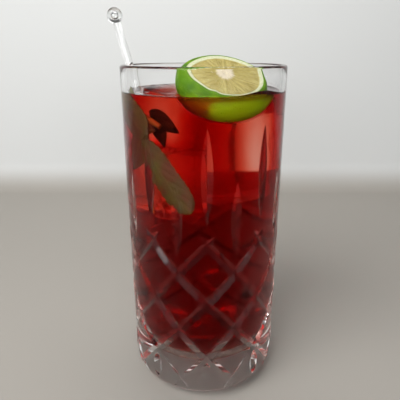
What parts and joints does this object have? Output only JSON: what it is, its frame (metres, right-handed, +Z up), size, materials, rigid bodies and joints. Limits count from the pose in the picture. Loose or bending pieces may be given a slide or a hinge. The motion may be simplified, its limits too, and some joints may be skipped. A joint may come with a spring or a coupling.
{
  "type": "iced mint and lime drink in a cut highball glass",
  "caption": "Tall diamond-cut tumbler filled with a clear red iced drink, with a floating half lime and a ball-topped glass stirrer.",
  "frame": {"origin": "centre of the glass's flat foot", "axes": "+Z up along the glass's axis, -Y the front where the lime's cut face leans, -X the side where the stirrer rests on the rim"},
  "size_m": [0.0765, 0.072, 0.1737],
  "materials": {
    "cut_glass": "clear polished crystal, cut",
    "red_drink": "clear deep red liquid with ice",
    "lime": "waxy green peel, wet pale green flesh",
    "clear_rod": "clear polished rod"
  },
  "bodies": {
    "root": {"glass": "cut_glass", "drink": "red_drink", "lime": "lime", "stirrer": "clear_rod"}
  },
  "joints": []
}
